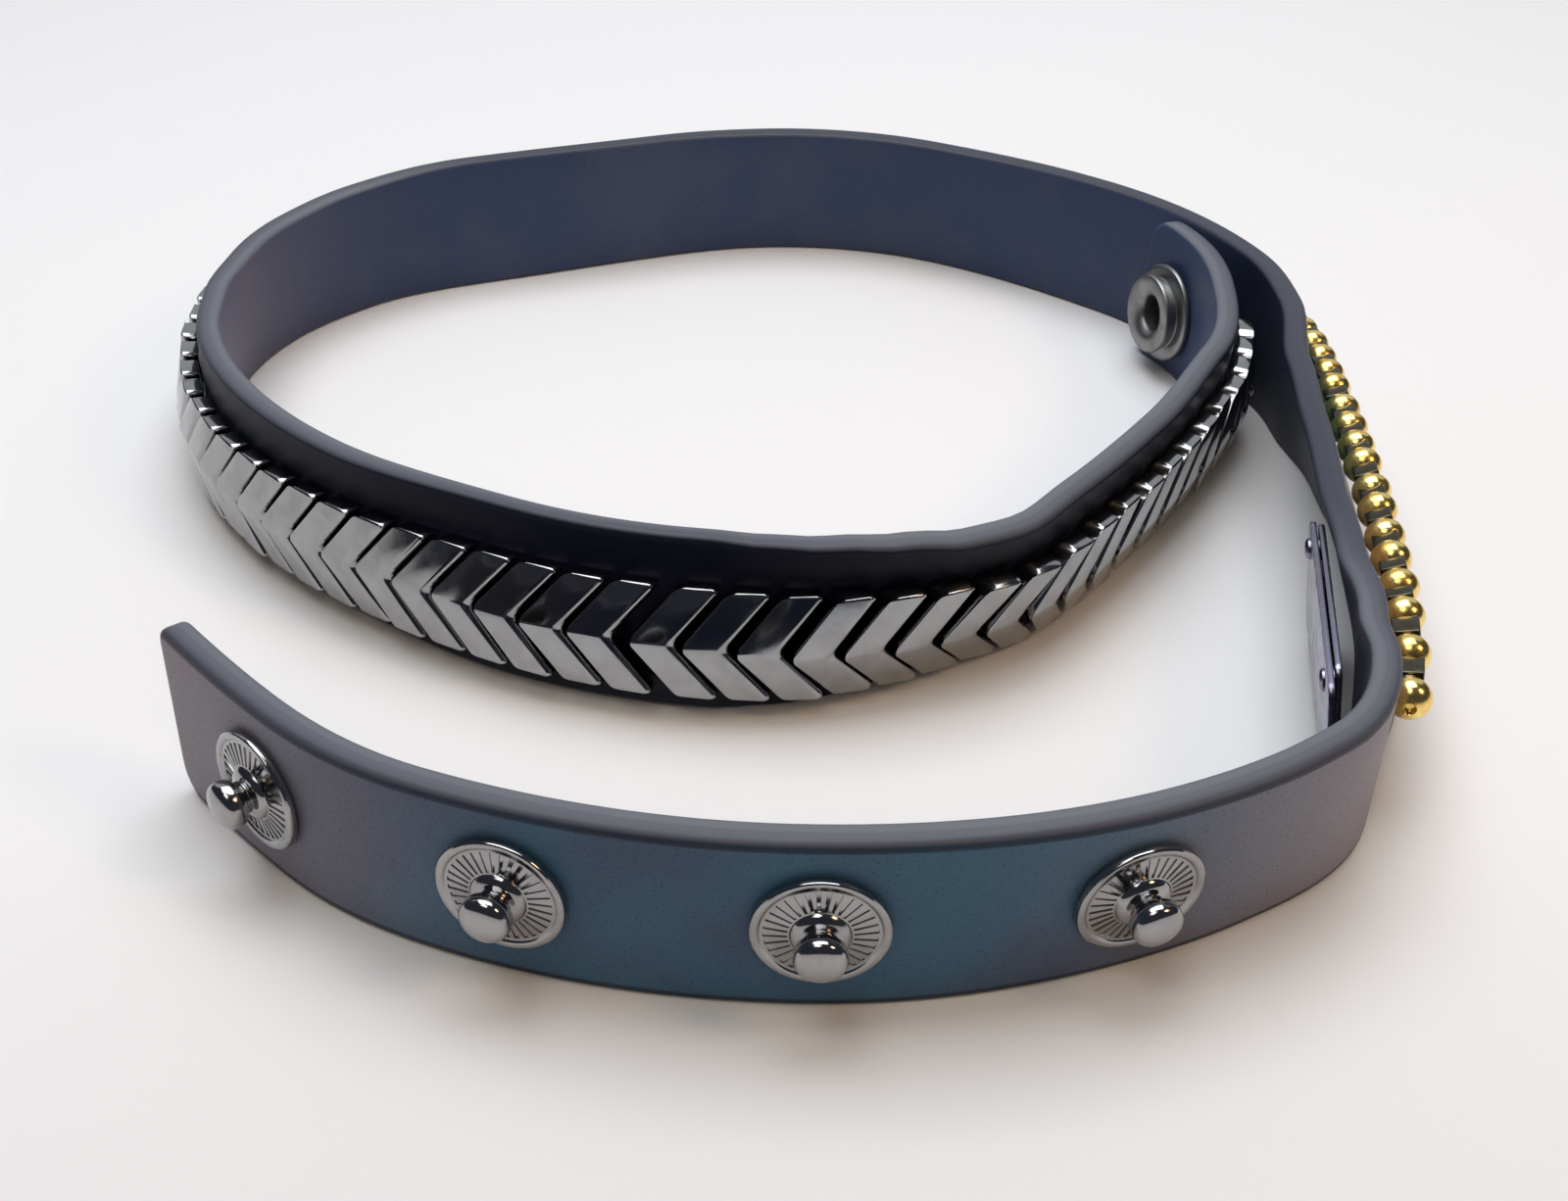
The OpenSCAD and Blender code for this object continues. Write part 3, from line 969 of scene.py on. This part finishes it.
def makeStrapMaterial(grain):
    look = strapFinish
    material, tree, shader = newMaterial("navyStrap", look["shader"])
    place = addNode(tree, "ShaderNodeAttribute", {"attribute_name": "flatPlace"}, {}).outputs["Vector"]
    axes = addNode(tree, "ShaderNodeSeparateXYZ", {}, {"Vector": place}).outputs
    marks = useGroup(tree, grain, {"Place": place, "Pebble Size": look["pebbleSize"],
                                   "Pore Amount": look["poreAmount"], "Wave Size": look["waveSize"]})
    outside = addRange(tree, axes["Y"], *look["outerFrom"])
    inside = addMath(tree, "SUBTRACT", 1.0, outside)

    # the two faces, with a slow drift of their colour
    face = addMix(tree, outside, look["innerFace"], look["outerFace"])
    cloud = addRange(tree, marks["Wave"], *look["cloudFrom"], 0.0, look["cloudMost"])
    face = addMix(tree, cloud, face, look["warmCloud"])

    # painted sheen: paler, warmer stretches that stand for glancing reflection and warm light
    atFree = addRange(tree, axes["X"], *look["paintedSheenFree"], 0.0, look["paintedSheenFreeMost"])
    atBend = addBand(tree, axes["X"], *look["paintedSheenBend"], look["paintedSheenBendMost"])
    atLeft = multiply(tree, addBand(tree, axes["X"], *look["paintedSheenLeft"], look["paintedSheenLeftMost"]), inside)
    paintedSheen = addMath(tree, "MAXIMUM", addMath(tree, "MAXIMUM", atFree, atBend), atLeft)
    face = addMix(tree, paintedSheen, face, look["paintedSheen"])

    # darker ones: painted shade on the outer turn's inner face, the near black under the chevrons and the
    # pores
    inPaintedInnerShade = addRange(tree, axes["X"], *look["paintedInnerShadeFrom"], 0.0, look["paintedInnerShadeMost"])
    face = addMix(tree, multiply(tree, inPaintedInnerShade, inside), face, look["paintedInnerShade"])
    first, last = chevronPlace(1), chevronPlace(chevronLook["count"])
    rise = [first + step for step in look["underFirst"]]
    fall = [last + step for step in look["underLast"]]
    under = multiply(tree, addBand(tree, axes["X"], rise, fall), outside)
    face = addMix(tree, under, face, look["underChevrons"])
    face = addMix(tree, multiply(tree, marks["Pores"], look["fleckMost"]), face, look["fleck"])

    # rim line and painted edge
    height = addMath(tree, "ABSOLUTE", axes["Z"])
    top = strapForm["width"] / 2
    onRim = multiply(tree, addRange(tree, height, *[top - below for below in look["rimBelow"]]), outside)
    face = addMix(tree, multiply(tree, onRim, look["rimMost"]), face, look["rim"])
    edge = addMix(tree, addRange(tree, axes["Y"], *look["edgeInner"]), look["edgeOuter"], look["edge"])
    edge = addMix(tree, addBand(tree, axes["X"], *look["darkEdgeBack"]), edge, look["darkEdge"])
    onEdge = addRange(tree, height, *[top - below for below in look["edgeBelow"]])
    color = addMix(tree, onEdge, face, edge)
    offMiddle = addMath(tree, "ABSOLUTE", axes["Y"])
    parting = multiply(tree, addRange(tree, offMiddle, *look["partingFrom"]), onEdge)
    color = addMix(tree, multiply(tree, parting, look["partingMost"]), color, look["parting"])
    tree.links.new(color, shader.inputs["Base Color"])

    rough = addRange(tree, onEdge, 0, 1, look["roughness"], look["edgeRoughness"])
    rough = addMath(tree, "ADD", rough, multiply(tree, marks["Pores"], look["poreRough"]))
    wave = addMath(tree, "SUBTRACT", marks["Wave"], 0.5)
    rough = addMath(tree, "ADD", rough, multiply(tree, wave, look["waveRough"]))
    tree.links.new(rough, shader.inputs["Roughness"])
    normal = addBump(tree, marks["Height"], look["grainDepth"], look["grainStrength"])
    tree.links.new(normal, shader.inputs["Normal"])
    return material


# Metal finishes: colours clean, smudged and at specks, what smudges and hairlines add to the
# roughness, and the sizes of both in millimetres
metalFinishes = {
    "chevronMetal": {
        "color": (0.355, 0.355, 0.36, 1), "smudged": (0.305, 0.30, 0.30, 1), "speck": (0.2, 0.2, 0.2, 1),
        "roughness": 0.09, "smudgeRough": 0.07, "hairlineRough": 0.05,
        "smudgeSize": 2.2, "hairlineSize": 0.15,
    },
    "snapMetal": {
        "color": (0.37, 0.365, 0.365, 1), "smudged": (0.32, 0.31, 0.31, 1), "speck": (0.15, 0.15, 0.15, 1),
        "roughness": 0.08, "smudgeRough": 0.08, "hairlineRough": 0.05,
        "smudgeSize": 1.6, "hairlineSize": 0.12,
    },
    # spacers: dark gunmetal, warmed by a painted reflection of the gold balls beside them
    "spacerMetal": {
        "color": (0.10, 0.09, 0.06, 1), "smudged": (0.07, 0.06, 0.04, 1), "speck": (0.05, 0.05, 0.04, 1),
        "roughness": 0.12, "smudgeRough": 0.1, "hairlineRough": 0.06,
        "smudgeSize": 1.0, "hairlineSize": 0.1,
    },
    "socketMetal": {
        "color": (0.27, 0.27, 0.265, 1), "smudged": (0.22, 0.22, 0.215, 1), "speck": (0.1, 0.1, 0.1, 1),
        "roughness": 0.38, "smudgeRough": 0.1, "hairlineRough": 0.06,
        "smudgeSize": 1.6, "hairlineSize": 0.12,
    },
    "plateMetal": {
        "color": (0.27, 0.26, 0.33, 1), "smudged": (0.20, 0.19, 0.26, 1), "speck": (0.12, 0.12, 0.14, 1),
        "roughness": 0.22, "smudgeRough": 0.1, "hairlineRough": 0.1,
        "smudgeSize": 1.5, "hairlineSize": 0.1,
    },
    "goldPlate": {
        "color": (1.0, 0.78, 0.28, 1), "smudged": (0.84, 0.53, 0.13, 1), "speck": (0.5, 0.3, 0.08, 1),
        "roughness": 0.19, "smudgeRough": 0.08, "hairlineRough": 0.05,
        "smudgeSize": 0.9, "hairlineSize": 0.1,
    },
}


def makeMetalMaterial(name, wear, finish):
    # polished plating with smudges, hairlines and specks
    material, tree, shader = newMaterial(name, {"Metallic": 1.0})
    place = addNode(tree, "ShaderNodeTexCoord", {}, {}).outputs["Object"]
    inMillimetres = {"Vector": place, "Scale": (1000, 1000, 1000)}
    place = addNode(tree, "ShaderNodeMapping", {}, inMillimetres).outputs["Vector"]
    marks = useGroup(tree, wear, {"Place": place, "Smudge Size": finish["smudgeSize"],
                                  "Hairline Size": finish["hairlineSize"],
                                  "Speck Size": wearLook["speckSize"]})
    color = addMix(tree, marks["Smudge"], finish["color"], finish["smudged"])
    color = addMix(tree, multiply(tree, marks["Specks"], wearLook["speckMost"]), color, finish["speck"])
    tree.links.new(color, shader.inputs["Base Color"])
    clean = finish["roughness"]
    rough = addRange(tree, marks["Smudge"], 0, 1, clean, clean + finish["smudgeRough"])
    rough = addMath(tree, "ADD", rough, multiply(tree, marks["Hairlines"], finish["hairlineRough"]))
    tree.links.new(rough, shader.inputs["Roughness"])
    normal = addBump(tree, marks["Hairlines"], wearLook["hairlineDepth"], wearLook["hairlineStrength"], True)
    tree.links.new(normal, shader.inputs["Normal"])
    return material


floorFinish = {
    "shader": {"Roughness": 0.6, "Specular IOR Level": 0.25},
    "clouds": [(0.765, 0.755, 0.765, 1), (0.79, 0.785, 0.795, 1)],
    "cloudScale": 5.0,
    "cloudDetail": 3.0,
    # painted shade: the table is painted darker towards the front
    "paintedFrontShade": (0.65, 0.645, 0.66, 1),  # a little darker towards the front
    "paintedFrontShadeFrom": (-0.02, -0.11),  # metres along Y
}


def makeFloorMaterial():
    look = floorFinish
    material, tree, shader = newMaterial("paleTable", look["shader"])
    place = addNode(tree, "ShaderNodeTexCoord", {}, {}).outputs["Object"]
    cloud = addNoise(tree, place, look["cloudScale"], Detail=look["cloudDetail"])
    color = addMix(tree, cloud, *look["clouds"])
    axes = addNode(tree, "ShaderNodeSeparateXYZ", {}, {"Vector": place}).outputs
    # painted shade towards the front of the table
    color = addMix(tree, addRange(tree, axes["Y"], *look["paintedFrontShadeFrom"]), color, look["paintedFrontShade"])
    tree.links.new(color, shader.inputs["Base Color"])
    return material


# Stage: table, lights and camera, in millimetres from the frame's origin
stage = {
    "tableSize": 4000.0,
    "cameraPlace": (2.79, -120.75, 73.293),
    "cameraDown": 33.711,
    "cameraClip": 5.0,
    "focalPixels": 1907.23,
    "photoWidth": 1600,
    "sensorWidth": 36,
    "lights": [
        # name, place, where it points, size, watts, colour, whether metal reflects it
        ("ceilingLight", (-10, 100, 420), (0, 30, 0), (400, 310), 1.79, (0.91, 0.955, 1.0), True),
        ("backLight", (0, 560, 400), (0, 0, 60), (1500, 640), 1.75, (0.93, 0.965, 1.0), True),
        ("sideLight", (330, -150, 330), (20, -20, 0), (110, 110), 0.36, (1.0, 0.66, 0.36), True),
        ("frontLight", (-60, -150, 330), (50, 10, 5), (140, 140), 0.20, (1.0, 0.97, 0.90), True),
        ("fillLight", (80, -520, 480), (0, 0, 0), (500, 400), 1.0, (1.0, 0.82, 0.60), False),
    ],
    "worldColor": (0.045, 0.050, 0.065, 1),
    "worldStrength": 1.0,
}


def buildStage():
    clearSelection()
    bpy.ops.mesh.primitive_plane_add(size=stage["tableSize"] * mm)
    table = bpy.context.object
    table.name = "paleTable"
    table.data.materials.append(makeFloorMaterial())
    for name, place, target, size, watts, color, mirrored in stage["lights"]:
        light = bpy.data.lights.new(name, "AREA")
        light.shape = "RECTANGLE"
        light.size, light.size_y = size[0] * mm, size[1] * mm
        light.energy = watts
        light.color = color
        lamp = bpy.data.objects.new(name, light)
        bpy.context.scene.collection.objects.link(lamp)
        lamp.visible_glossy = mirrored
        lamp.location = Vector(place) * mm
        lamp.rotation_euler = (Vector(target) - Vector(place)).to_track_quat("-Z", "Y").to_euler()
    world = bpy.data.worlds.new("studio")
    world.use_nodes = True
    background = world.node_tree.nodes["Background"].inputs
    background["Color"].default_value = stage["worldColor"]
    background["Strength"].default_value = stage["worldStrength"]
    bpy.context.scene.world = world
    bpy.context.scene.view_settings.view_transform = "Standard"


def buildCamera():
    view = bpy.data.cameras.new("photoCamera")
    view.sensor_width = stage["sensorWidth"]
    view.lens = stage["sensorWidth"] * stage["focalPixels"] / stage["photoWidth"]
    view.clip_start = stage["cameraClip"] * mm
    camera = bpy.data.objects.new("photoCamera", view)
    bpy.context.scene.collection.objects.link(camera)
    camera.location = Vector(stage["cameraPlace"]) * mm
    camera.rotation_euler = (math.radians(90 - stage["cameraDown"]), 0, 0)
    bpy.context.scene.camera = camera


buildStage()
buildCamera()
print("table, lights and camera done")

wear = makeWearGroup()
metals = {name: makeMetalMaterial(name, wear, finish) for name, finish in metalFinishes.items()}

strap = buildStrap()
finishPiece(strap, "bentStrap", makeStrapMaterial(makeGrainGroup()), ["strap"])
print("strap:", len(strap.data.polygons), "faces")

stud = buildStud()
for i in range(studLook["count"]):
    twin = copyPiece(stud, f"snapStud{i + 1}")
    layPiece(twin, onStrap(studPlace(i), studLook["up"]))
    finishPiece(twin, f"snapStud{i + 1}", metals["snapMetal"], [f"stud_{i + 1}"])
bpy.data.objects.remove(stud)
print("studs:", studLook["count"])

chevron = buildChevron()
for i in range(1, chevronLook["count"] + 1):
    twin = copyPiece(chevron, f"chevronLink{i}")
    layPiece(twin, onStrap(chevronPlace(i), chevronLook["up"]) @ chevronAskew(i))
    finishPiece(twin, f"chevronLink{i}", metals["chevronMetal"], [f"chevron_{i}"])
bpy.data.objects.remove(chevron)
print("chevrons:", chevronLook["count"])

balls, spacers = layRow(buildBall(), buildSpacer())
finishPiece(balls, "goldRow", metals["goldPlate"], ["gold_balls"])
finishPiece(spacers, "spacerRow", metals["spacerMetal"], ["ball_spacers"])
print("gold row done")

snapSocket = buildSocket()
turnIn = Matrix.Rotation(math.pi, 4, "X")  # so that its heights run inwards
layPiece(snapSocket, onStrap(strapLength - socketLook["fromEnd"], socketLook["up"]) @ turnIn)
finishPiece(snapSocket, "snapSocket", metals["socketMetal"], ["socket"])

plate = buildPlate()
finishPiece(plate, "clampPlate", metals["plateMetal"], ["inner_plate"])
print("socket and plate done")

clearSelection()
